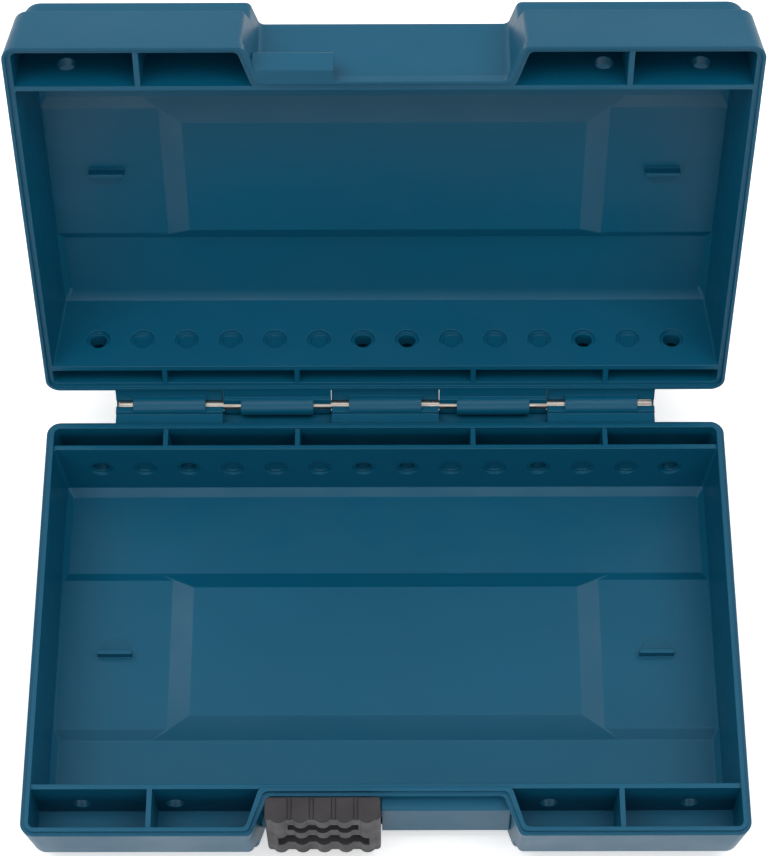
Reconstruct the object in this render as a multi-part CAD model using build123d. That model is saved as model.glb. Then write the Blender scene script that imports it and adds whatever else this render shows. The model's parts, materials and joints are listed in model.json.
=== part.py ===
from build123d import *
import math
import os

# Compartment storage box: two moulded half shells on a steel hinge pin, with a
# swinging catch at the front. Millimetres, +X right, -Y front, +Z up.
# The halves are drawn with the hinge axis on the X axis and the rim plane at Z = 0.
# A depth from the hinge side is the distance in front of the rear rim edge.

# Case
CASE_WIDTH = 280.0
CASE_DEPTH = 181.0
CORNER_RADIUS = 5.6
BASE_DEPTH_INSIDE = 31.0
LID_DEPTH_INSIDE = 34.6
FLOOR_THICKNESS = 2.0
WALL_THICKNESS = 2.0
PARTING_GAP = 0.2

# Rim, with a tongue on the base and a lip on the lid, and a proud band in the recess
BAND_HEIGHT = 4.0
RECESS_BAND_PROUD = 1.2
LEDGE_WIDTH = 1.5
TONGUE_WIDTH = 1.7
TONGUE_HEIGHT = 1.2
LIP_CLEARANCE = 0.2

# Outer skin
WALL_DRAFT = 2.3
BASE_PAD_HEIGHT = 7.5
LID_PAD_HEIGHT = 10.2
PAD_CHAMFER = 2.0
PAD_FRONT_SET_BACK = 2.8
PAD_CORNER_RADIUS = 7.0
PAD_EDGE_RADIUS = 2.0

# Front recess for the catch
RECESS_DEPTH = 16.2
RECESS_BACK_WIDTH = 91.0
RECESS_MOUTH_WIDTH = 103.2
RECESS_CORNER_RADIUS = 2.5

# Inner walls
REAR_WALL_FROM_RIM = 10.6
FRONT_WALL_FROM_RIM = 19.2
BASE_REAR_WALL_SLOPE = 0.10
LID_REAR_WALL_SLOPE = 0.24
FRONT_WALL_SLOPE = 0.05
SIDE_WALL_SLOPE = 0.11
BASE_FOOT = (3.0, 3.0)
LID_FOOT = (4.8, 2.2)
SIDE_FOOT_RUN = 2.5
COMPARTMENT_CORNER_RADIUS = 1.2
CHANNEL_RIBS = (-90.8, -36.3, 36.3, 90.8)
POCKET_RIBS = (-91.0, 91.0)
RIB_THICKNESS = 2.0
CHANNEL_DEPTH = 24.0
BASE_POCKET_DEPTH = 21.0
LID_POCKET_DEPTH = 22.0
CELL_DRAFT = 1.0

# Holes for round shanks, in the rear wall and the pocket wall
HOLE_COUNT = 14
HOLE_PITCH = 18.2
HOLE_FROM_RIM = 13.5
HOLE_DIAMETER = 7.0
HOLE_RING_DIAMETER = 9.6
HOLE_RING_DEPTH = 0.5
HOLE_BLIND_DEPTH = 1.1
BASE_THROUGH_HOLES = (1, 3, 7, 8, 11, 14)
LID_THROUGH_HOLES = (1, 7, 8, 12, 14)
BASE_FRONT_HOLES = (1, 3, 11, 14)
LID_FRONT_HOLES = (1, 12, 14)

# Raised floor panel: full width, with a higher field at its centre
PANEL_REAR_FOOT = 54.4
PANEL_FRONT_FOOT = 128.9
PANEL_RISE = 2.2
PANEL_RUN = 4.2
FIELD_RISE = 5.4
FIELD_RUN = 8.8
FIELD_TOP_WIDTH = 157.6
FIELD_SIDE_RUN = 9.0
PANEL_SKIN_MARGIN = 8.0

# Small rests on the panel's sides
REST_X = 110.2
REST_FROM_REAR = 92.3
REST_LENGTH = 14.0
REST_THICKNESS = 1.8
REST_HEIGHT = 3.3
REST_DISH_RADIUS = 6.5
REST_DISH_DEPTH = 0.15

# Hinge
HINGE_GAP = 8.6
KNUCKLE_COUNT = 5
KNUCKLE_PITCH = 44.8
KNUCKLE_GAP = 0.3
KNUCKLE_DIAMETER = 8.6
KNUCKLE_NOTCH = 7.2
NOTCH_LEVEL = 1.2
WEB_DROP = 0.3
WEB_ROOT = 1.2
SHELF_DROP = 4.8
SHELF_THICKNESS = 1.6
SHELF_REACH = 8.5
PIN_DIAMETER = 3.8
PIN_CLEARANCE = 0.05
PIN_INSET = 1.2
PIN_CHAMFER = 0.4
KNURL_LENGTH = 8.0
KNURL_TEETH = 12
KNURL_GROOVE = 0.35
OPEN_ANGLE = 103.5
HEEL_INNER = 1.4
HEEL_OUTER = 3.8
HEEL_CLEARANCE = 0.15
HEEL_THICKNESS = 3.0

# Lug on the lid and catch on the base
LUG_LENGTH = 27.0
LUG_DEPTH = 5.5
LUG_HEIGHT = 11.0
LUG_EDGE_RADIUS = 1.0
CATCH_LENGTH = 44.0
CATCH_THICKNESS = 2.2
CATCH_TOP_THICKNESS = 3.4
CATCH_FACE_FROM_FRONT = 3.2
CATCH_OVERLAP = 1.4
CATCH_CLEARANCE = 0.4
CATCH_END_RADIUS = 1.6
CATCH_EYE_DIAMETER = 6.0
CATCH_SIDE_CLEARANCE = 0.4
TRUNNION_DIAMETER = 3.0
TRUNNION_LENGTH = 2.0
TRUNNION_CLEARANCE = 0.08
TRUNNION_END_GAP = 0.4
CATCH_EDGE_RADIUS = 0.6
CATCH_AXIS_DROP = 20.0
CATCH_AXIS_OUT = 3.4
GRIP_COUNT = 5
GRIP_PITCH = 8.4
GRIP_RADIUS = 3.6
GRIP_PROUD = 1.3
GRIP_VALLEY_RADIUS = 0.8
TOP_GROOVE_RADIUS = 1.0
TOP_GROOVE_DEPTH = 0.7
UPPER_WINDOW = (27.0, 6.2)
LOWER_WINDOW = (35.0, 8.4)
WINDOW_BAR = 6.4
WINDOW_TOP_LAND = 7.0
RAIL_DROP = 3.6
RAIL_HEIGHT = 22.6
RAIL_PROUD = 5.6
RAIL_ROOT = 1.5
RAIL_EDGE_RADIUS = 1.0

# Sizes that follow from those above
RIM_WIDTH = LEDGE_WIDTH + TONGUE_WIDTH
RECESS_BACK = CASE_DEPTH - RECESS_DEPTH
RECESS_WALL = RECESS_BACK - RECESS_BAND_PROUD
FRONT_WALL = CASE_DEPTH - FRONT_WALL_FROM_RIM
FRONT_WALL_INSIDE = FRONT_WALL - WALL_THICKNESS
REAR_WALL_INSIDE = REAR_WALL_FROM_RIM + WALL_THICKNESS
KNUCKLE_RADIUS = KNUCKLE_DIAMETER / 2
BORE_RADIUS = PIN_DIAMETER / 2 + PIN_CLEARANCE
HINGE_LENGTH = KNUCKLE_COUNT * KNUCKLE_PITCH
CATCH_FACE = CASE_DEPTH - CATCH_FACE_FROM_FRONT
CATCH_AXIS = RECESS_WALL + CATCH_AXIS_OUT
LUG_FRONT = RECESS_BACK + LUG_DEPTH
LUG_TOP = PARTING_GAP + LUG_HEIGHT
CATCH_UNDER = LUG_TOP + CATCH_CLEARANCE
CATCH_REACH = LUG_FRONT - CATCH_OVERLAP
RECESS_SLANT = (RECESS_MOUTH_WIDTH - RECESS_BACK_WIDTH) / 2 / RECESS_DEPTH
RECESS_WALL_HALF = RECESS_BACK_WIDTH / 2 + RECESS_BAND_PROUD * (1 - RECESS_SLANT)
CATCH_LEFT = CATCH_SIDE_CLEARANCE - RECESS_WALL_HALF
CATCH_RIGHT = CATCH_LEFT + CATCH_LENGTH
CATCH_LEVER = CATCH_UNDER + CATCH_AXIS_DROP
CATCH_REST_ANGLE = math.degrees(
    math.asin((CATCH_OVERLAP + CATCH_CLEARANCE) / CATCH_LEVER)
)
CATCH_BOTTOM = -CATCH_AXIS_DROP - CATCH_EYE_DIAMETER / 2
CATCH_CENTRE_X = CATCH_LEFT + CATCH_LENGTH / 2
CATCH_TOP = CATCH_UNDER + CATCH_TOP_THICKNESS


def front_of(depth):
    """Y of a place that lies depth in front of the rear rim edge."""
    return -(HINGE_GAP + depth)


def block(x0, x1, depth0, depth1, z0, z1):
    """Box between two X values, two depths and two heights."""
    size = (x1 - x0, depth1 - depth0, z1 - z0)
    centre = ((x0 + x1) / 2, front_of((depth0 + depth1) / 2), (z0 + z1) / 2)
    return Pos(*centre) * Box(*size)


def rod(radius, x0, x1, y=0.0, z=0.0):
    """Cylinder along X."""
    return Pos((x0 + x1) / 2, y, z) * Rot(0, 90, 0) * Cylinder(radius, x1 - x0)


def prism_along_x(points, length):
    """Solid of a (depth, z) outline, centred on X = 0."""
    corners = [(front_of(depth), z) for depth, z in points]
    outline = Plane.YZ * make_face(Polyline(*corners, close=True))
    return extrude(outline, amount=length / 2, both=True)


def plan(inset, recess_inset, corner, z, set_back=0.0):
    """Outline of the case seen from above, drawn in by inset, with its recess."""
    half = CASE_WIDTH / 2 - inset
    rear = front_of(inset)
    front_depth = CASE_DEPTH - inset - set_back
    front = front_of(front_depth)
    back = front_of(RECESS_BACK - recess_inset)
    back_half = RECESS_BACK_WIDTH / 2 + recess_inset
    mouth_half = back_half + RECESS_SLANT * (front_depth - RECESS_BACK)
    right_side = [(half, rear), (half, front), (mouth_half, front), (back_half, back)]
    left_side = [(-x, y) for x, y in reversed(right_side)]
    face = make_face(Polyline(*right_side, *left_side, close=True))
    outer = [v for v in face.vertices() if abs(v.X) > half - 0.01]
    face = fillet(outer, corner)
    inner = [v for v in face.vertices() if abs(v.X) < mouth_half + 0.01]
    face = fillet(inner, RECESS_CORNER_RADIUS)
    return Pos(0, 0, z) * face


def tray(half_width, depth0, depth1, corner, z):
    """Rounded rectangle between two depths at a height."""
    centre = (0, front_of((depth0 + depth1) / 2), z)
    return Pos(*centre) * RectangleRounded(2 * half_width, depth1 - depth0, corner)


def through(sections):
    """Solid with flat-ruled sides through a list of outlines."""
    body = None
    for upper, lower in zip(sections, sections[1:]):
        span = loft([upper.face(), lower.face()], ruled=True)
        body = span if body is None else body + span
    return body


def outer_body(height, pad_height):
    """Solid skin of one half, from its rim down to its pad."""
    pad_top = pad_height - height
    wall_foot = pad_top + PAD_CHAMFER
    pad_inset = WALL_DRAFT + PAD_CHAMFER
    recess_inset = RECESS_BAND_PROUD
    band_draft = -WALL_DRAFT * BAND_HEIGHT / wall_foot
    band_low = plan(band_draft, band_draft, CORNER_RADIUS, -BAND_HEIGHT)
    band_end = RECESS_MOUTH_WIDTH / 2 + RIM_WIDTH
    band = through([plan(0, 0, CORNER_RADIUS, 0), band_low])
    band &= block(-band_end, band_end, FRONT_WALL, CASE_DEPTH, -BAND_HEIGHT, 0)
    skin = through(
        [
            plan(0, recess_inset, CORNER_RADIUS, 0),
            plan(WALL_DRAFT, recess_inset, CORNER_RADIUS, wall_foot),
            plan(pad_inset, recess_inset, PAD_CORNER_RADIUS, pad_top, PAD_FRONT_SET_BACK),
            plan(pad_inset, recess_inset, PAD_CORNER_RADIUS, -height, PAD_FRONT_SET_BACK),
        ]
    )
    bottom = skin.faces().sort_by(Axis.Z)[0]
    skin = fillet(bottom.outer_wire().edges(), PAD_EDGE_RADIUS)
    return band + skin


def compartment(depth, rear_slope, foot):
    """Main hollow of one half, with sloped walls and sloped feet."""
    foot_run, foot_rise = foot
    wall_depth = depth - foot_rise
    side = CASE_WIDTH / 2 - RIM_WIDTH
    side_low = side - SIDE_WALL_SLOPE * wall_depth
    rear_low = REAR_WALL_INSIDE + rear_slope * wall_depth
    front_low = FRONT_WALL_INSIDE - FRONT_WALL_SLOPE * wall_depth
    corner = COMPARTMENT_CORNER_RADIUS
    mouth = tray(side, REAR_WALL_INSIDE, FRONT_WALL_INSIDE, corner, 0)
    foot_line = tray(side_low, rear_low, front_low, corner, -wall_depth)
    floor = tray(
        side_low - SIDE_FOOT_RUN, rear_low + foot_run, front_low - SIDE_FOOT_RUN, corner, -depth
    )
    return extrude(mouth, amount=2 * TONGUE_HEIGHT) + through([mouth, foot_line, floor])


def cell(x0, x1, depth0, depth1, deep):
    """Hollow of a channel or pocket cell, kept inside the rim and drafted."""
    faces = []
    for draft, z in ((0, 0), (CELL_DRAFT, -deep)):
        limits = block(x0 + draft, x1 - draft, depth0 + draft, depth1 - draft, z - 1, z + 1)
        within = limits & plan(RIM_WIDTH + draft, RIM_WIDTH + draft, CORNER_RADIUS - RIM_WIDTH, z)
        faces.append(within)
    mouth = extrude(faces[0], amount=2 * TONGUE_HEIGHT)
    return mouth + through(faces)


def cells(pocket_depth):
    """Hollows of the rear channel and of the front pockets."""
    half_rib = RIB_THICKNESS / 2
    side = CASE_WIDTH / 2
    rear = [-side, *CHANNEL_RIBS, side]
    front = [(-side, POCKET_RIBS[0]), (POCKET_RIBS[0], 0), (0, POCKET_RIBS[1]), (POCKET_RIBS[1], side)]
    hollows = []
    for x0, x1 in zip(rear, rear[1:]):
        hollows.append(cell(x0 + half_rib, x1 - half_rib, 0, REAR_WALL_FROM_RIM, CHANNEL_DEPTH))
    for x0, x1 in front:
        hollows.append(cell(x0 + half_rib, x1 - half_rib, FRONT_WALL, CASE_DEPTH, pocket_depth))
    return hollows


def raised_floor(depth, reach):
    """Panel across the floor with a higher field, both with sloped edges."""
    panel = prism_along_x(
        [
            (PANEL_REAR_FOOT, -depth),
            (PANEL_REAR_FOOT + PANEL_RUN, PANEL_RISE - depth),
            (PANEL_FRONT_FOOT - PANEL_RUN, PANEL_RISE - depth),
            (PANEL_FRONT_FOOT, -depth),
        ],
        2 * reach,
    )
    side_run = FIELD_SIDE_RUN * FIELD_RISE / (FIELD_RISE - PANEL_RISE)
    half_top = FIELD_TOP_WIDTH / 2
    middle = front_of((PANEL_REAR_FOOT + PANEL_FRONT_FOOT) / 2)
    length = PANEL_FRONT_FOOT - PANEL_REAR_FOOT
    low = Pos(0, middle, -depth) * Rectangle(2 * (half_top + side_run), length)
    high = Pos(0, middle, FIELD_RISE - depth) * Rectangle(2 * half_top, length - 2 * FIELD_RUN)
    return panel + through([high, low])


def hole_x(number):
    """X of a hole, counted from 1 at the left."""
    return (number - (HOLE_COUNT + 1) / 2) * HOLE_PITCH


def bore_along_y(diameter, x, depth0, depth1, z):
    """Cylinder from one depth to another."""
    centre = (x, front_of((depth0 + depth1) / 2), z)
    return Pos(*centre) * Rot(90, 0, 0) * Cylinder(diameter / 2, depth1 - depth0)


def shank_holes(rear_slope, through_holes, front_holes):
    """Cutters for the row in the rear wall and the holes in the pocket wall."""
    z = -HOLE_FROM_RIM
    face = REAR_WALL_INSIDE + rear_slope * HOLE_FROM_RIM
    ring_floor = face - HOLE_RING_DEPTH
    into_room = face + HOLE_RING_DIAMETER
    cutters = []
    for number in range(1, HOLE_COUNT + 1):
        x = hole_x(number)
        cutters.append(bore_along_y(HOLE_RING_DIAMETER, x, ring_floor, into_room, z))
        if number in through_holes:
            floor = REAR_WALL_FROM_RIM - WALL_THICKNESS
        else:
            floor = face - HOLE_BLIND_DEPTH
        cutters.append(bore_along_y(HOLE_DIAMETER, x, floor, into_room, z))
    for number in front_holes:
        x = hole_x(number)
        start = FRONT_WALL_INSIDE - WALL_THICKNESS
        cutters.append(bore_along_y(HOLE_DIAMETER, x, start, FRONT_WALL + WALL_THICKNESS, z))
    return cutters


def floor_rests(depth):
    """Two small upright bars on the sides of the floor panel."""
    z = PANEL_RISE - depth
    bars = []
    for x in (-REST_X, REST_X):
        half = REST_LENGTH / 2
        near = REST_FROM_REAR - REST_THICKNESS / 2
        bars.append(
            block(x - half, x + half, near, near + REST_THICKNESS, z - 0.5, z + REST_HEIGHT)
        )
    return bars


def floor_dishes(depth):
    """Shallow round marks behind the two bars."""
    z = PANEL_RISE - depth
    middle = front_of(REST_FROM_REAR - REST_THICKNESS / 2)
    keep = block(-CASE_WIDTH, CASE_WIDTH, 0, REST_FROM_REAR - REST_THICKNESS / 2, z - 1, z + 1)
    return [
        Pos(x, middle, z) * Cylinder(REST_DISH_RADIUS, 2 * REST_DISH_DEPTH) & keep
        for x in (-REST_X, REST_X)
    ]


def half_shell(depth, pad_height, rear_slope, foot, pocket_depth, through_holes, front_holes):
    """One half with its rim plane at Z = 0 and its floor below."""
    height = depth + FLOOR_THICKNESS
    floor_reach = CASE_WIDTH / 2 - RIM_WIDTH - SIDE_WALL_SLOPE * depth
    skin_reach = CASE_WIDTH / 2 - PANEL_SKIN_MARGIN
    shell = outer_body(height, pad_height)
    shell -= compartment(depth, rear_slope, foot)
    shell -= cells(pocket_depth)
    shell += raised_floor(depth, floor_reach)
    shell -= Pos(0, 0, -FLOOR_THICKNESS) * raised_floor(depth, skin_reach)
    shell += floor_rests(depth)
    shell -= floor_dishes(depth)
    shell -= shank_holes(rear_slope, through_holes, front_holes)
    return shell


def knuckles(first, up):
    """Every second hinge knuckle, with its web, for the base or for the lid."""
    side = 1 if up else -1
    parts = []
    for index in range(first, KNUCKLE_COUNT, 2):
        x0 = index * KNUCKLE_PITCH - HINGE_LENGTH / 2 + KNUCKLE_GAP / 2
        x1 = x0 + KNUCKLE_PITCH - KNUCKLE_GAP
        near, far = sorted((side * WEB_DROP, side * KNUCKLE_RADIUS))
        barrel = rod(KNUCKLE_RADIUS, x0, x1)
        barrel += block(x0, x1, -HINGE_GAP, WEB_ROOT, near, far)
        open_low, open_high = sorted((-side * NOTCH_LEVEL, -side * HINGE_GAP))
        for end in (x0, x1 - KNUCKLE_NOTCH):
            barrel -= block(end, end + KNUCKLE_NOTCH, -2 * HINGE_GAP, -1, open_low, open_high)
        parts.append((barrel, x0, x1))
    return parts


def heel(x0, x1):
    """Stop behind a base knuckle, just short of the open lid's rear wall."""
    angle = math.radians(OPEN_ANGLE)
    along = (-math.cos(angle), math.sin(angle))
    outward = (math.sin(angle), math.cos(angle))
    reach = HINGE_GAP - HEEL_CLEARANCE

    def place(out, up):
        return (out * outward[0] + up * along[0], out * outward[1] + up * along[1])

    corners = [
        place(HEEL_INNER, reach),
        place(HEEL_OUTER, reach),
        place(HEEL_OUTER, 0),
        place(HEEL_OUTER - HEEL_THICKNESS, 0),
    ]
    outline = Plane.YZ * make_face(Polyline(*corners, close=True))
    return Pos(x0, 0, 0) * extrude(outline, amount=x1 - x0)


def hinge_shelf(x0, x1, top):
    """Ledge along the base's rear wall below the knuckles."""
    return block(x0, x1, -SHELF_REACH, WEB_ROOT, -SHELF_DROP - SHELF_THICKNESS, top)


def recess_rail():
    """Box-shaped step in the base's recess, which carries the catch's right end."""
    x0 = CATCH_RIGHT + CATCH_SIDE_CLEARANCE
    x1 = RECESS_BACK_WIDTH / 2 + RECESS_BAND_PROUD + RAIL_ROOT
    z1 = -RAIL_DROP
    rail = block(x0, x1, RECESS_WALL - 1, RECESS_WALL + RAIL_PROUD, z1 - RAIL_HEIGHT, z1)
    front = rail.faces().sort_by(Axis.Y)[0]
    return fillet(front.edges().filter_by(Axis.X), RAIL_EDGE_RADIUS)


def catch_boss():
    """Round boss on the recess's left side, which carries the catch's left end."""
    y = front_of(CATCH_AXIS)
    x1 = CATCH_LEFT - CATCH_SIDE_CLEARANCE
    return rod(CATCH_EYE_DIAMETER / 2, x1 - WALL_THICKNESS, x1, y, -CATCH_AXIS_DROP)


def trunnion_line(radius, reach):
    """Cylinder on the catch's axis that runs past both of its ends."""
    y = front_of(CATCH_AXIS)
    return rod(radius, CATCH_LEFT - reach, CATCH_RIGHT + reach, y, -CATCH_AXIS_DROP)


def make_base():
    """Lower half with its tongue, knuckles, heels and catch mounts."""
    shell = half_shell(
        BASE_DEPTH_INSIDE,
        BASE_PAD_HEIGHT,
        BASE_REAR_WALL_SLOPE,
        BASE_FOOT,
        BASE_POCKET_DEPTH,
        BASE_THROUGH_HOLES,
        BASE_FRONT_HOLES,
    )
    ring = plan(LEDGE_WIDTH, LEDGE_WIDTH, CORNER_RADIUS - LEDGE_WIDTH, 0)
    ring -= plan(RIM_WIDTH, RIM_WIDTH, CORNER_RADIUS - RIM_WIDTH, 0)
    shell += extrude(ring, amount=TONGUE_HEIGHT)
    shell += recess_rail()
    shell += catch_boss()
    socket_radius = TRUNNION_DIAMETER / 2 + TRUNNION_CLEARANCE
    shell -= trunnion_line(socket_radius, TRUNNION_LENGTH + TRUNNION_END_GAP)
    shell += hinge_shelf(-HINGE_LENGTH / 2, HINGE_LENGTH / 2, -SHELF_DROP)
    for barrel, x0, x1 in knuckles(0, False):
        shell += hinge_shelf(x0, x1, -WEB_DROP - WALL_THICKNESS)
        shell += barrel
        shell += heel(x0, x1)
    return shell - rod(BORE_RADIUS, -HINGE_LENGTH, HINGE_LENGTH)


def lug():
    """Block at the left of the recess, which the catch hooks over when closed."""
    x0 = -RECESS_BACK_WIDTH / 2 - RECESS_BAND_PROUD - WALL_THICKNESS
    x1 = LUG_LENGTH - RECESS_BACK_WIDTH / 2
    body = block(x0, x1, FRONT_WALL_INSIDE + WALL_THICKNESS, LUG_FRONT, -LUG_HEIGHT, 0)
    edges = body.faces().sort_by(Axis.Y)[0].edges().filter_by(Axis.X)
    return fillet(edges.sort_by(Axis.Z)[0], LUG_EDGE_RADIUS)


def make_lid():
    """Upper half in its closed place, with its lip, knuckles and lug."""
    shell = half_shell(
        LID_DEPTH_INSIDE,
        LID_PAD_HEIGHT,
        LID_REAR_WALL_SLOPE,
        LID_FOOT,
        LID_POCKET_DEPTH,
        LID_THROUGH_HOLES,
        LID_FRONT_HOLES,
    )
    lip_inset = LEDGE_WIDTH - LIP_CLEARANCE
    lip_corner = CORNER_RADIUS - lip_inset
    rebate = extrude(plan(lip_inset, lip_inset, lip_corner, -TONGUE_HEIGHT), amount=2 * TONGUE_HEIGHT)
    shell = shell + lug() - rebate
    shell = Pos(0, 0, PARTING_GAP) * mirror(shell, about=Plane.XY)
    for barrel, x0, x1 in knuckles(1, True):
        shell += barrel
    return shell - rod(BORE_RADIUS, -HINGE_LENGTH, HINGE_LENGTH)


def make_hinge_pin():
    """Steel pin with a plain left end and a splined right end."""
    x0 = PIN_INSET - HINGE_LENGTH / 2
    x1 = HINGE_LENGTH / 2 - PIN_INSET
    radius = PIN_DIAMETER / 2
    pin = rod(radius, x0, x1)
    pin = chamfer(pin.edges(), PIN_CHAMFER)
    for index in range(KNURL_TEETH):
        angle = 360 / KNURL_TEETH * index
        groove = Pos(x1 - KNURL_LENGTH / 2, 0, radius) * Rot(45, 0, 0)
        groove *= Box(KNURL_LENGTH, KNURL_GROOVE, KNURL_GROOVE)
        pin -= Rot(angle, 0, 0) * groove
    return pin


def catch_outline():
    """Catch seen from above, with its grip ridges along the front."""
    inner = CATCH_REACH
    middle = front_of((inner + CATCH_FACE) / 2)
    body = Pos(CATCH_CENTRE_X, middle) * RectangleRounded(
        CATCH_LENGTH, CATCH_FACE - inner, CATCH_END_RADIUS
    )
    for index in range(GRIP_COUNT):
        x = CATCH_CENTRE_X + (index - (GRIP_COUNT - 1) / 2) * GRIP_PITCH
        body += Pos(x, front_of(CATCH_FACE + GRIP_PROUD - GRIP_RADIUS)) * Circle(GRIP_RADIUS)
    flat_half = CATCH_LENGTH / 2 - CATCH_END_RADIUS
    valleys = [
        v
        for v in body.vertices()
        if abs(v.Y - front_of(CATCH_FACE)) < 0.01
        and abs(v.X - CATCH_CENTRE_X) < flat_half - 0.01
    ]
    return fillet(valleys, GRIP_VALLEY_RADIUS)


def top_grooves():
    """Cutters along Y that carry the valleys of the grip over the catch's top."""
    z = CATCH_TOP - TOP_GROOVE_DEPTH + TOP_GROOVE_RADIUS
    cutters = []
    for index in range(1, GRIP_COUNT):
        x = CATCH_CENTRE_X + (index - GRIP_COUNT / 2) * GRIP_PITCH
        cutters.append(bore_along_y(2 * TOP_GROOVE_RADIUS, x, RECESS_WALL, CASE_DEPTH, z))
    return cutters


def make_catch():
    """Catch in its closed place: top hook, ridged face, foot and trunnions."""
    inner_face = CATCH_FACE - CATCH_THICKNESS
    x0, x1 = CATCH_LEFT, CATCH_RIGHT
    body = extrude(Pos(0, 0, CATCH_BOTTOM) * catch_outline(), amount=CATCH_TOP - CATCH_BOTTOM)
    hollow_left = x0 + CATCH_THICKNESS
    hollow_right = x1 - CATCH_THICKNESS
    foot_top = CATCH_BOTTOM + CATCH_THICKNESS
    room = block(hollow_left, hollow_right, 0, inner_face, foot_top, CATCH_UNDER)
    lug_room = block(x0 - 1, x1 + 1, 0, LUG_FRONT + CATCH_CLEARANCE, foot_top, CATCH_UNDER)
    y = front_of(CATCH_AXIS)
    foot = block(x0, x1, CATCH_AXIS, CATCH_FACE - CATCH_END_RADIUS, CATCH_BOTTOM, foot_top)
    body = fillet(body.edges().group_by(Axis.Z)[-1], CATCH_EDGE_RADIUS)
    body = body - top_grooves() - room - lug_room + foot
    body += rod(CATCH_EYE_DIAMETER / 2, x0, x1, y, -CATCH_AXIS_DROP)
    body += trunnion_line(TRUNNION_DIAMETER / 2, TRUNNION_LENGTH)
    window_top = CATCH_TOP - WINDOW_TOP_LAND
    for width, height in (UPPER_WINDOW, LOWER_WINDOW):
        half = width / 2
        body -= block(
            CATCH_CENTRE_X - half,
            CATCH_CENTRE_X + half,
            inner_face - 1,
            CASE_DEPTH + GRIP_PROUD,
            window_top - height,
            window_top,
        )
        window_top -= height + WINDOW_BAR
    return body


def turned(solid, angle, depth, z):
    """Solid turned about an axis along X; a positive angle tips the top forwards."""
    y = front_of(depth)
    return Pos(0, y, z) * Rot(angle, 0, 0) * Pos(0, -y, -z) * solid


def make_parts():
    """All pieces in their places, with the lid open and the catch released."""
    pieces = {
        "base_shell": make_base(),
        "lid_shell": turned(make_lid(), -OPEN_ANGLE, -HINGE_GAP, 0),
        "hinge_pin": make_hinge_pin(),
        "catch": turned(make_catch(), CATCH_REST_ANGLE, CATCH_AXIS, -CATCH_AXIS_DROP),
    }
    boxes = [piece.bounding_box() for piece in pieces.values()]
    middle_x = (min(b.min.X for b in boxes) + max(b.max.X for b in boxes)) / 2
    middle_y = (min(b.min.Y for b in boxes) + max(b.max.Y for b in boxes)) / 2
    shift = Pos(-middle_x, -middle_y, -min(b.min.Z for b in boxes))
    return {name: shift * piece for name, piece in pieces.items()}, shift


os.makedirs("parts", exist_ok=True)
PIECES, SHIFT = make_parts()
for name, piece in PIECES.items():
    export_step(piece, f"parts/{name}.step")
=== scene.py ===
import json
import math

import bmesh
import bpy
from bpy.props import FloatProperty, FloatVectorProperty, PointerProperty
from mathutils import Matrix, Vector


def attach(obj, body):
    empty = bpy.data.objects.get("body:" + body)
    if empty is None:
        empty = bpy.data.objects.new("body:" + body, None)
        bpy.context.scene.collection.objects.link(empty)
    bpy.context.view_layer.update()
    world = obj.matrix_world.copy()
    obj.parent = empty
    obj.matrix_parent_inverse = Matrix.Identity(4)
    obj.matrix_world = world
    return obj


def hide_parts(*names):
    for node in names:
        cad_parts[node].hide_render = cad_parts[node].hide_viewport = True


bl_info = {
    "name": "Compartment Storage Box",
    "version": (1, 0, 0),
    "blender": (4, 5, 0),
    "location": "View3D > Sidebar > Storage Box",
    "description": "Finishes the shells, the hinge pin and the catch of an open storage box",
    "category": "Object",
}

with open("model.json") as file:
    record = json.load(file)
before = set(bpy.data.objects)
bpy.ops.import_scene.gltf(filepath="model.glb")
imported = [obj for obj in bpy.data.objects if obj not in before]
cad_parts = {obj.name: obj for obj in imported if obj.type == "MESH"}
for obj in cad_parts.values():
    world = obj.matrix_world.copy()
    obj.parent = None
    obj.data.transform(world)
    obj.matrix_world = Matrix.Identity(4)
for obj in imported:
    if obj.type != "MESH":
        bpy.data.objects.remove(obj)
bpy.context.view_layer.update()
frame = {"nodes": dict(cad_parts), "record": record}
HINGE = Vector(frame["record"]["behaviour"]["joints"][0]["pos_m"])

# Smooth copies of the CAD nodes
MERGE_DISTANCE = 0.000002
FLAT_LIMIT = math.radians(0.6)
DISSOLVE_LIMIT = math.radians(0.4)
CREASE = math.radians(35)
WIDE_CREASE = math.radians(2)
WIDE_AREA = 0.00012
NORMAL_WEIGHT = 100

# Finish detail: sizes and heights in metres
EDGE_SAMPLES = 6
CLOUD_SIZE = 0.06
CLOUD_AMOUNT = 0.35
CLOUD_DARKENING = 0.82
FLOW_SIZE = 0.02
FLOW_STRETCH = (0.25, 1.0, 1.0)
FLOW_AMOUNT = 0.16
HANDLED_SIZE = 0.03
HANDLED_ROUGHNESS = (-0.05, 0.07)
WAVE_SIZE = 0.018
WAVE_HEIGHT = 0.00025
SPECK_SIZE = 0.0016
SPECK_HEIGHT = 0.00002
SHELL_SPECULAR = 0.24
STAIN_SIZE = 0.004
STAIN_AMOUNT = 0.6
STAIN_DARKENING = 0.55
STAIN_ROUGHNESS = (-0.06, 0.14)
LINE_STRETCH = (0.02, 1.0, 1.0)
LINE_HEIGHT = 0.00002
RUBBED_SIZE = 0.008
RUBBED_AMOUNT = 0.55
RUBBED_LIGHTENING = 1.7
RUBBED_ROUGHNESS = (0.08, -0.06)
CATCH_SPECULAR = 0.3
CATCH_GRAIN_HEIGHT = 0.00005
FLOOR_ROUGHNESS = 0.9
FLOOR_SPECULAR = 0.1

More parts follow.
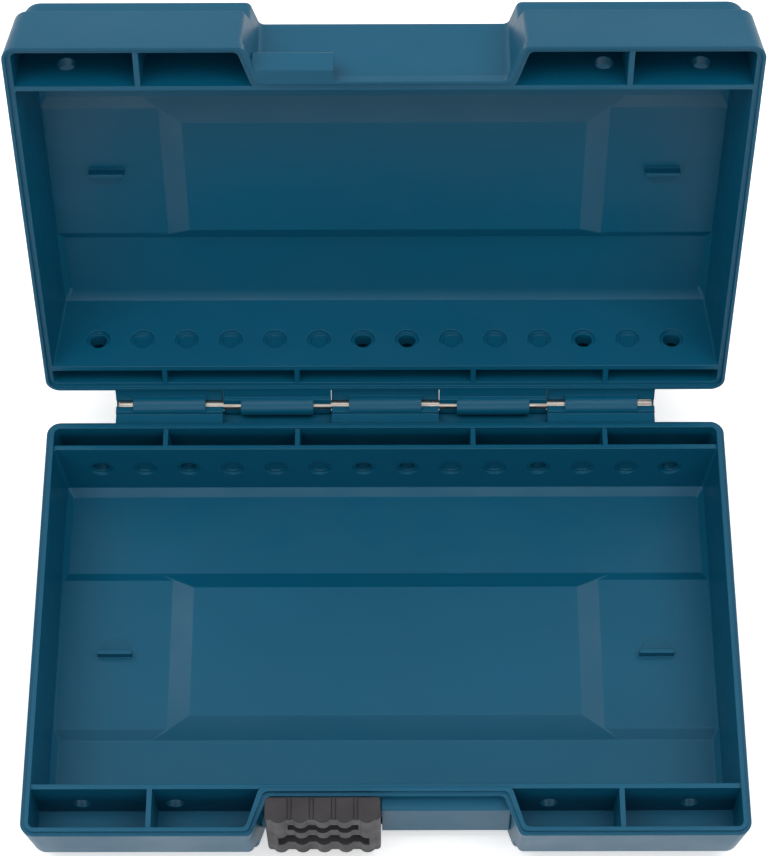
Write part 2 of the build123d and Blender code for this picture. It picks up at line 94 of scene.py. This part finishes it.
# Softboxes: places and sizes in metres, all turned to the middle of the box
LAMP_TARGET = (0, 0, 0.08)
TOP_PLACE, TOP_SIZE = (0, -0.3, 1.6), (2.0, 1.0)
FRONT_PLACE, FRONT_SIZE = (0, -1.3, 0.75), (1.4, 0.5)
SIDE_PLACE, SIDE_SIZE = (0.6, -0.1, 1.25), (0.45, 0.9)
REAR_PLACE, REAR_SIZE = (0.8, 0.65, 0.95), (0.6, 0.6)


class ShellFinish(bpy.types.PropertyGroup):
    """Moulded plastic of the base and the lid"""

    colour: FloatVectorProperty(
        name="Colour", description="Body colour of the plastic", subtype="COLOR", size=3,
        min=0, max=1, default=(0.001, 0.084, 0.157),
    )
    pale_colour: FloatVectorProperty(
        name="Pale colour", description="Flow marks and rubbed edges", subtype="COLOR", size=3,
        min=0, max=1, default=(0.004, 0.108, 0.194),
    )
    roughness: FloatProperty(
        name="Roughness", description="Mean roughness of the moulded skin",
        min=0, max=1, default=0.36,
    )
    grain_size: FloatProperty(
        name="Grain size", description="Size of the moulded grain", unit="LENGTH",
        default=0.0007, precision=5,
    )
    grain_height: FloatProperty(
        name="Grain height", description="Height of the moulded grain", unit="LENGTH",
        default=0.00003, precision=6,
    )
    edge_radius: FloatProperty(
        name="Edge radius", description="Rounding seen on every sharp edge", unit="LENGTH",
        default=0.0005, precision=5,
    )


class PinFinish(bpy.types.PropertyGroup):
    """Drawn steel of the hinge pin"""

    colour: FloatVectorProperty(
        name="Colour", description="Colour of the steel", subtype="COLOR", size=3,
        min=0, max=1, default=(0.36, 0.33, 0.3),
    )
    roughness: FloatProperty(
        name="Roughness", description="Mean roughness of the steel", min=0, max=1, default=0.28
    )
    line_pitch: FloatProperty(
        name="Drawing line pitch", description="Spacing of the fine lines along the pin",
        unit="LENGTH", default=0.0002, precision=5,
    )


class CatchFinish(bpy.types.PropertyGroup):
    """Black moulded plastic of the catch"""

    colour: FloatVectorProperty(
        name="Colour", description="Body colour of the catch", subtype="COLOR", size=3,
        min=0, max=1, default=(0.019, 0.017, 0.02),
    )
    roughness: FloatProperty(
        name="Roughness", description="Mean roughness of the catch", min=0, max=1, default=0.52
    )
    grain_size: FloatProperty(
        name="Grain size", description="Size of the eroded grain", unit="LENGTH",
        default=0.0005, precision=5,
    )
    edge_radius: FloatProperty(
        name="Edge radius", description="Rounding seen on every sharp edge", unit="LENGTH",
        default=0.0006, precision=5,
    )


class StudioSetup(bpy.types.PropertyGroup):
    """Floor, lamps and camera"""

    floor_colour: FloatVectorProperty(
        name="Floor colour", description="Colour of the floor", subtype="COLOR", size=3,
        min=0, max=1, default=(0.9, 0.9, 0.9),
    )
    floor_size: FloatProperty(
        name="Floor size", description="Side of the square floor", unit="LENGTH", default=12.0
    )
    floor_lift: FloatProperty(
        name="Floor lift", description="Light that the camera sees on the floor beside the lamps'",
        min=0, default=0.48,
    )
    room_light: FloatProperty(
        name="Room light", description="Strength of the even light around", min=0, default=0.4
    )
    top_power: FloatProperty(
        name="Top lamp", description="Power of the overhead softbox in watts",
        min=0, default=3.5,
    )
    side_power: FloatProperty(
        name="Side lamps", description="Power of each high side softbox in watts",
        min=0, default=4.0,
    )
    front_power: FloatProperty(
        name="Front lamp", description="Power of the softbox above the camera's side in watts",
        min=0, default=4.0,
    )
    rear_power: FloatProperty(
        name="Rear lamps", description="Power of each rear side softbox in watts",
        min=0, default=3.0,
    )
    focal_length: FloatProperty(
        name="Focal length", description="Lens length in millimetres", default=112.77
    )
    sensor_size: FloatProperty(
        name="Sensor size", description="Longer side of the film in millimetres", default=36.0
    )
    pitch: FloatProperty(
        name="Look down", description="Angle of the view below the horizon",
        subtype="ANGLE", default=math.radians(60.75),
    )
    yaw: FloatProperty(
        name="Turn", description="Turn of the view about the upright",
        subtype="ANGLE", default=math.radians(0.31),
    )
    roll: FloatProperty(
        name="Roll", description="Turn of the picture about the line of sight",
        subtype="ANGLE", default=math.radians(0.40),
    )
    hinge_in_view: FloatVectorProperty(
        name="Hinge in view", description="Middle of the hinge, right, down and ahead of the lens",
        subtype="TRANSLATION", unit="LENGTH", size=3, default=(0.0005, -0.0098, 1.1159),
    )


def new_material(name):
    """An empty node material, with its tree, its surface shader and its object coordinates."""
    material = bpy.data.materials.new(name)
    material.use_nodes = True
    tree = material.node_tree
    tree.nodes.clear()
    output = tree.nodes.new("ShaderNodeOutputMaterial")
    shader = tree.nodes.new("ShaderNodeBsdfPrincipled")
    place = tree.nodes.new("ShaderNodeTexCoord")
    tree.links.new(shader.outputs["BSDF"], output.inputs["Surface"])
    return material, tree, shader, place.outputs["Object"]


def noise(tree, place, size, detail=2.0, stretch=None):
    """Noise whose blobs are about size across, drawn out along an axis by stretch."""
    if stretch is not None:
        mapping = tree.nodes.new("ShaderNodeMapping")
        mapping.inputs["Scale"].default_value = stretch
        tree.links.new(place, mapping.inputs["Vector"])
        place = mapping.outputs["Vector"]
    texture = tree.nodes.new("ShaderNodeTexNoise")
    texture.inputs["Scale"].default_value = 1 / size
    texture.inputs["Detail"].default_value = detail
    tree.links.new(place, texture.inputs["Vector"])
    return texture.outputs["Fac"]


def spread(tree, value, low, high, start=0.3, stop=0.7):
    """The value, moved from start..stop to low..high."""
    node = tree.nodes.new("ShaderNodeMapRange")
    node.inputs["From Min"].default_value = start
    node.inputs["From Max"].default_value = stop
    node.inputs["To Min"].default_value = low
    node.inputs["To Max"].default_value = high
    tree.links.new(value, node.inputs["Value"])
    return node.outputs["Result"]


def blend_colours(tree, amount, first, second):
    """A colour between two, by an amount socket."""
    node = tree.nodes.new("ShaderNodeMix")
    node.data_type = "RGBA"
    tree.links.new(amount, node.inputs["Factor"])
    for socket, colour in ((node.inputs[6], first), (node.inputs[7], second)):
        if isinstance(colour, bpy.types.NodeSocket):
            tree.links.new(colour, socket)
        else:
            socket.default_value = (*colour, 1)
    return node.outputs[2]


def rounded_edges(tree, radius):
    """Normal that rounds off the sharp edges, seen in the light and not in the outline."""
    node = tree.nodes.new("ShaderNodeBevel")
    node.samples = EDGE_SAMPLES
    node.inputs["Radius"].default_value = radius
    return node.outputs["Normal"]


def bumps(tree, shader, layers, normal=None):
    """Height layers of (value, height in metres) under the shader's normal."""
    for value, height in layers:
        node = tree.nodes.new("ShaderNodeBump")
        node.inputs["Strength"].default_value = 1
        node.inputs["Distance"].default_value = height
        tree.links.new(value, node.inputs["Height"])
        if normal is not None:
            tree.links.new(normal, node.inputs["Normal"])
        normal = node.outputs["Normal"]
    tree.links.new(normal, shader.inputs["Normal"])


def shell_plastic(finish):
    """Satin moulded plastic with flow marks, handling marks and a fine grain."""
    material, tree, shader, place = new_material("shell_plastic")
    clouds = noise(tree, place, CLOUD_SIZE, 3)
    flow = noise(tree, place, FLOW_SIZE, 4, FLOW_STRETCH)
    speck = noise(tree, place, SPECK_SIZE, 2)
    body = tuple(finish.colour)
    pale = tuple(finish.pale_colour)
    deep = tuple(c * CLOUD_DARKENING for c in body)
    tone = blend_colours(tree, spread(tree, flow, 0, FLOW_AMOUNT), body, pale)
    tone = blend_colours(tree, spread(tree, clouds, 0, CLOUD_AMOUNT), tone, deep)
    tree.links.new(tone, shader.inputs["Base Color"])
    low, high = (finish.roughness + step for step in HANDLED_ROUGHNESS)
    handled = spread(tree, noise(tree, place, HANDLED_SIZE, 5), low, high)
    tree.links.new(handled, shader.inputs["Roughness"])
    shader.inputs["Specular IOR Level"].default_value = SHELL_SPECULAR
    grain = noise(tree, place, finish.grain_size, 2)
    waves = noise(tree, place, WAVE_SIZE, 1)
    layers = [(waves, WAVE_HEIGHT), (speck, SPECK_HEIGHT), (grain, finish.grain_height)]
    bumps(tree, shader, layers, rounded_edges(tree, finish.edge_radius))
    return material


def pin_steel(finish):
    """Drawn steel with fine lines along the pin and darker stains."""
    material, tree, shader, place = new_material("pin_steel")
    lines = noise(tree, place, finish.line_pitch, 2, LINE_STRETCH)
    stains = noise(tree, place, STAIN_SIZE, 3)
    body = tuple(finish.colour)
    dark = tuple(c * STAIN_DARKENING for c in body)
    tone = blend_colours(tree, spread(tree, stains, 0, STAIN_AMOUNT), body, dark)
    tree.links.new(tone, shader.inputs["Base Color"])
    low, high = (finish.roughness + step for step in STAIN_ROUGHNESS)
    tree.links.new(spread(tree, stains, low, high), shader.inputs["Roughness"])
    shader.inputs["Metallic"].default_value = 1
    bumps(tree, shader, [(lines, LINE_HEIGHT)])
    return material


def catch_plastic(finish):
    """Black eroded plastic, a little greyer where thumbs rub it."""
    material, tree, shader, place = new_material("catch_plastic")
    rubbed = noise(tree, place, RUBBED_SIZE, 4)
    body = tuple(finish.colour)
    pale = tuple(min(1, c * RUBBED_LIGHTENING) for c in body)
    tone = blend_colours(tree, spread(tree, rubbed, 0, RUBBED_AMOUNT), body, pale)
    tree.links.new(tone, shader.inputs["Base Color"])
    unrubbed, worn = (finish.roughness + step for step in RUBBED_ROUGHNESS)
    tree.links.new(spread(tree, rubbed, unrubbed, worn), shader.inputs["Roughness"])
    shader.inputs["Specular IOR Level"].default_value = CATCH_SPECULAR
    grain = noise(tree, place, finish.grain_size, 3)
    layers = [(grain, CATCH_GRAIN_HEIGHT)]
    bumps(tree, shader, layers, rounded_edges(tree, finish.edge_radius))
    return material


def flat_areas(work):
    """Area of the flat patch that each face belongs to."""
    areas = {}
    for start in work.faces:
        if start in areas:
            continue
        patch, queue = {start}, [start]
        while queue:
            face = queue.pop()
            for edge in face.edges:
                if len(edge.link_faces) != 2 or edge.calc_face_angle() > FLAT_LIMIT:
                    continue
                for other in edge.link_faces:
                    if other not in patch:
                        patch.add(other)
                        queue.append(other)
        total = sum(face.calc_area() for face in patch)
        for face in patch:
            areas[face] = total
    return areas


def merged_copy(node, name):
    """Copy of a CAD node, smooth on its curves and sharp where two wide flats meet."""
    source = frame["nodes"][node]
    mesh = bpy.data.meshes.new(name)
    work = bmesh.new()
    work.from_mesh(source.data)
    bmesh.ops.remove_doubles(work, verts=work.verts, dist=MERGE_DISTANCE)
    bmesh.ops.dissolve_limit(
        work, angle_limit=DISSOLVE_LIMIT, verts=work.verts, edges=work.edges
    )
    bmesh.ops.triangulate(work, faces=work.faces, quad_method="BEAUTY", ngon_method="BEAUTY")
    areas = flat_areas(work)
    for face in work.faces:
        face.smooth = True
    for edge in work.edges:
        if len(edge.link_faces) != 2:
            edge.smooth = False
            continue
        angle = edge.calc_face_angle()
        wide = min(areas[face] for face in edge.link_faces) > WIDE_AREA
        edge.smooth = angle < CREASE and not (wide and angle > WIDE_CREASE)
    work.to_mesh(mesh)
    work.free()
    piece = bpy.data.objects.new(name, mesh)
    bpy.context.scene.collection.objects.link(piece)
    weighted = piece.modifiers.new("even_normals", "WEIGHTED_NORMAL")
    weighted.keep_sharp = True
    weighted.weight = NORMAL_WEIGHT
    return piece


def finish_node(node, body, material):
    """Stands a smooth copy in for a CAD node, on its body and in its material."""
    piece = merged_copy(node, f"{node}_skin")
    piece.data.materials.append(material)
    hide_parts(node)
    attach(piece, body)
    return piece


class STORAGEBOX_OT_shells(bpy.types.Operator):
    """Finish the base shell and the lid shell in satin moulded plastic"""

    bl_idname = "storagebox.shells"
    bl_label = "Shells"

    def execute(self, context):
        material = shell_plastic(context.scene.storagebox_shell)
        finish_node("base_shell", "base", material)
        finish_node("lid_shell", "lid", material)
        return {"FINISHED"}


class STORAGEBOX_OT_pin(bpy.types.Operator):
    """Finish the hinge pin in drawn steel"""

    bl_idname = "storagebox.pin"
    bl_label = "Hinge pin"

    def execute(self, context):
        material = pin_steel(context.scene.storagebox_pin)
        finish_node("hinge_pin", "base", material)
        return {"FINISHED"}


class STORAGEBOX_OT_catch(bpy.types.Operator):
    """Finish the front catch in black moulded plastic"""

    bl_idname = "storagebox.catch"
    bl_label = "Catch"

    def execute(self, context):
        material = catch_plastic(context.scene.storagebox_catch)
        finish_node("catch", "catch", material)
        return {"FINISHED"}


def seen_rays(tree):
    """1 for camera, glossy and transmission rays, 0 for the light that falls on things."""
    rays = tree.nodes.new("ShaderNodeLightPath")
    seen = rays.outputs["Is Camera Ray"]
    for kind in ("Is Glossy Ray", "Is Transmission Ray"):
        either = tree.nodes.new("ShaderNodeMath")
        either.operation = "MAXIMUM"
        tree.links.new(seen, either.inputs[0])
        tree.links.new(rays.outputs[kind], either.inputs[1])
        seen = either.outputs["Value"]
    return seen


def studio_floor(setup):
    """Plain pale floor, lifted to white for the camera, with the object's shadow on it."""
    work = bmesh.new()
    bmesh.ops.create_grid(work, x_segments=1, y_segments=1, size=setup.floor_size / 2)
    mesh = bpy.data.meshes.new("studio_floor")
    work.to_mesh(mesh)
    work.free()
    floor = bpy.data.objects.new("studio_floor", mesh)
    bpy.context.scene.collection.objects.link(floor)
    material, tree, shader, _ = new_material("studio_floor")
    shader.inputs["Base Color"].default_value = (*setup.floor_colour, 1)
    shader.inputs["Roughness"].default_value = FLOOR_ROUGHNESS
    shader.inputs["Specular IOR Level"].default_value = FLOOR_SPECULAR
    shader.inputs["Emission Color"].default_value = (1, 1, 1, 1)
    lift = tree.nodes.new("ShaderNodeMath")
    lift.operation = "MULTIPLY"
    lift.inputs[1].default_value = setup.floor_lift
    tree.links.new(seen_rays(tree), lift.inputs[0])
    tree.links.new(lift.outputs["Value"], shader.inputs["Emission Strength"])
    mesh.materials.append(material)


def softbox(name, place, size, power):
    """Rectangular area lamp that looks at the middle of the box."""
    lamp = bpy.data.lights.new(name, "AREA")
    lamp.shape = "RECTANGLE"
    lamp.size, lamp.size_y = size
    lamp.energy = power
    thing = bpy.data.objects.new(name, lamp)
    thing.location = place
    aim = Vector(LAMP_TARGET) - Vector(place)
    thing.rotation_euler = aim.to_track_quat("-Z", "Y").to_euler()
    bpy.context.scene.collection.objects.link(thing)


def studio_world(setup):
    """Even room light, with a white background for the camera and for reflections."""
    world = bpy.data.worlds.new("studio")
    world.use_nodes = True
    tree = world.node_tree
    tree.nodes.clear()
    output = tree.nodes.new("ShaderNodeOutputWorld")
    mix = tree.nodes.new("ShaderNodeMixShader")
    room = tree.nodes.new("ShaderNodeBackground")
    white = tree.nodes.new("ShaderNodeBackground")
    room.inputs["Color"].default_value = (1, 1, 1, 1)
    room.inputs["Strength"].default_value = setup.room_light
    white.inputs["Color"].default_value = (1, 1, 1, 1)
    tree.links.new(seen_rays(tree), mix.inputs["Fac"])
    tree.links.new(room.outputs["Background"], mix.inputs[1])
    tree.links.new(white.outputs["Background"], mix.inputs[2])
    tree.links.new(mix.outputs["Shader"], output.inputs["Surface"])
    bpy.context.scene.world = world


def studio_camera(setup):
    """Camera at the fitted place above and in front of the open box."""
    turn = Matrix.Rotation(setup.yaw, 3, "Z")
    ahead = turn @ Vector((0, math.cos(setup.pitch), -math.sin(setup.pitch)))
    level = turn @ Vector((1, 0, 0))
    below = ahead.cross(level)
    right = math.cos(setup.roll) * level + math.sin(setup.roll) * below
    down = math.cos(setup.roll) * below - math.sin(setup.roll) * level
    offset = setup.hinge_in_view
    place = HINGE - offset[0] * right - offset[1] * down - offset[2] * ahead
    lens = bpy.data.cameras.new("studio_camera")
    lens.lens = setup.focal_length
    lens.sensor_width = setup.sensor_size
    camera = bpy.data.objects.new("studio_camera", lens)
    columns = Matrix((right, -down, -ahead)).transposed()
    camera.matrix_world = Matrix.Translation(place) @ columns.to_4x4()
    bpy.context.scene.collection.objects.link(camera)
    bpy.context.scene.camera = camera


class STORAGEBOX_OT_stage(bpy.types.Operator):
    """Set up the floor, the softboxes, the room light and the camera"""

    bl_idname = "storagebox.stage"
    bl_label = "Studio"

    def execute(self, context):
        setup = context.scene.storagebox_studio
        studio_floor(setup)
        studio_world(setup)
        softbox("top_softbox", TOP_PLACE, TOP_SIZE, setup.top_power)
        softbox("front_softbox", FRONT_PLACE, FRONT_SIZE, setup.front_power)
        for side in (-1, 1):
            place = (side * SIDE_PLACE[0], *SIDE_PLACE[1:])
            softbox(f"side_softbox_{side}", place, SIDE_SIZE, setup.side_power)
            place = (side * REAR_PLACE[0], *REAR_PLACE[1:])
            softbox(f"rear_softbox_{side}", place, REAR_SIZE, setup.rear_power)
        studio_camera(setup)
        context.scene.view_settings.view_transform = "Standard"
        return {"FINISHED"}


class STORAGEBOX_PT_panel(bpy.types.Panel):
    """Steps and settings of the storage box"""

    bl_idname = "STORAGEBOX_PT_panel"
    bl_label = "Storage Box"
    bl_space_type = "VIEW_3D"
    bl_region_type = "UI"
    bl_category = "Storage Box"

    def draw(self, context):
        scene = context.scene
        for operator, settings in STEPS:
            box = self.layout.box()
            box.operator(operator)
            group = getattr(scene, settings)
            for name in group.__annotations__:
                box.prop(group, name)


STEPS = (
    ("storagebox.shells", "storagebox_shell"),
    ("storagebox.pin", "storagebox_pin"),
    ("storagebox.catch", "storagebox_catch"),
    ("storagebox.stage", "storagebox_studio"),
)
GROUPS = {
    "storagebox_shell": ShellFinish,
    "storagebox_pin": PinFinish,
    "storagebox_catch": CatchFinish,
    "storagebox_studio": StudioSetup,
}
OPERATORS = (STORAGEBOX_OT_shells, STORAGEBOX_OT_pin, STORAGEBOX_OT_catch, STORAGEBOX_OT_stage)


def register():
    for cls in (*GROUPS.values(), *OPERATORS, STORAGEBOX_PT_panel):
        bpy.utils.register_class(cls)
    for name, group in GROUPS.items():
        setattr(bpy.types.Scene, name, PointerProperty(type=group))


def unregister():
    for name in GROUPS:
        delattr(bpy.types.Scene, name)
    for cls in reversed((*GROUPS.values(), *OPERATORS, STORAGEBOX_PT_panel)):
        bpy.utils.unregister_class(cls)


def main():
    register()
    bpy.ops.storagebox.shells()
    bpy.ops.storagebox.pin()
    bpy.ops.storagebox.catch()
    bpy.ops.storagebox.stage()


if __name__ == "__main__":
    main()
